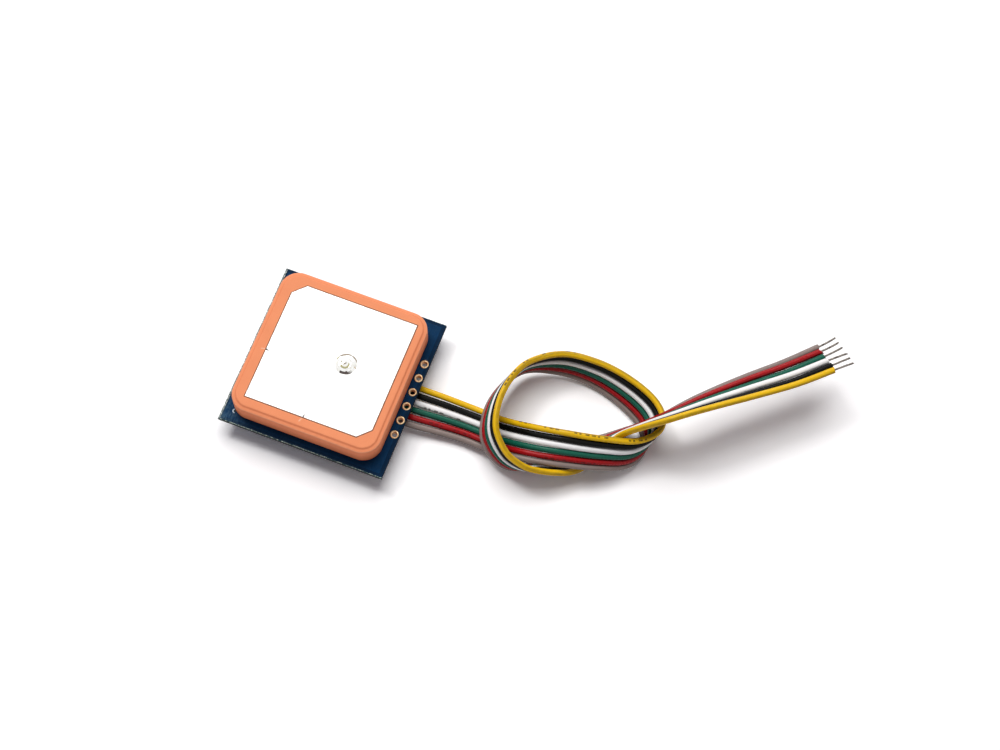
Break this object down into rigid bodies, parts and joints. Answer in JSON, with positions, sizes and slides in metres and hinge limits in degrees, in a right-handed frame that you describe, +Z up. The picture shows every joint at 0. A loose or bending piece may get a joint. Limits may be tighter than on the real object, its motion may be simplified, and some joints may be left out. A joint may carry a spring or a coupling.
{
  "type": "gps module",
  "caption": "Square positioning receiver module with a ceramic patch antenna on top, plated pin holes along one edge, a screened underside and a flat knotted lead.",
  "frame": {"origin": "under the centre of the board, on the surface that the module rests on", "axes": "+X along the lead, +Y along the row of plated holes, +Z up through the antenna"},
  "size_m": [0.0907, 0.0466, 0.0123],
  "materials": {
    "solder_mask": "dark blue solder mask on fibreglass",
    "gold_plate": "pale gold plating",
    "antenna_ceramic": "unglazed, tan, with fine ground edges",
    "silver_layer": "satin fired silver",
    "foam_tape": "white foam",
    "tinned_metal": "bright tin and solder",
    "header_plastic": "natural moulded nylon",
    "plug_plastic": "white moulded nylon",
    "insulation_yellow": "glossy insulation",
    "insulation_black": "glossy insulation",
    "insulation_white": "glossy insulation",
    "insulation_green": "glossy insulation",
    "insulation_red": "glossy insulation",
    "insulation_grey": "glossy insulation",
    "can_sheet": "tin-plated sheet",
    "black_epoxy": "moulded epoxy",
    "lid_metal": "plated lid",
    "cell_steel": "nickel-plated steel",
    "lamp_body": "clear and white resin",
    "capacitor_body": "sintered, tan",
    "resistor_body": "glazed, black",
    "inductor_body": "ferrite, dark grey"
  },
  "bodies": {
    "root": {"circuit_board": "solder_mask", "plated_holes": "gold_plate", "antenna_ceramic": "antenna_ceramic", "antenna_patch": "silver_layer", "antenna_ground": "silver_layer", "antenna_tape": "foam_tape", "feed_pin": "tinned_metal", "feed_solder_top": "tinned_metal", "feed_solder_bottom": "tinned_metal", "header_housing": "header_plastic", "header_contacts": "gold_plate", "header_tabs": "tinned_metal", "plug_housing": "plug_plastic", "crimp_terminals": "tinned_metal", "wire_yellow": "insulation_yellow", "wire_black": "insulation_black", "wire_white": "insulation_white", "wire_green": "insulation_green", "wire_red": "insulation_red", "wire_grey": "insulation_grey", "wire_tips": "tinned_metal", "shield_can": "can_sheet", "receiver_chip": "black_epoxy", "reference_oscillator": "lid_metal", "clock_crystal": "lid_metal", "saw_filter": "lid_metal", "low_noise_amplifier": "black_epoxy", "flash_memory": "black_epoxy", "voltage_regulator": "black_epoxy", "regulator_leads": "tinned_metal", "backup_cell": "cell_steel", "backup_cell_tabs": "cell_steel", "status_led": "lamp_body", "chip_capacitors": "capacitor_body", "chip_resistors": "resistor_body", "chip_inductors": "inductor_body"}
  },
  "joints": []
}
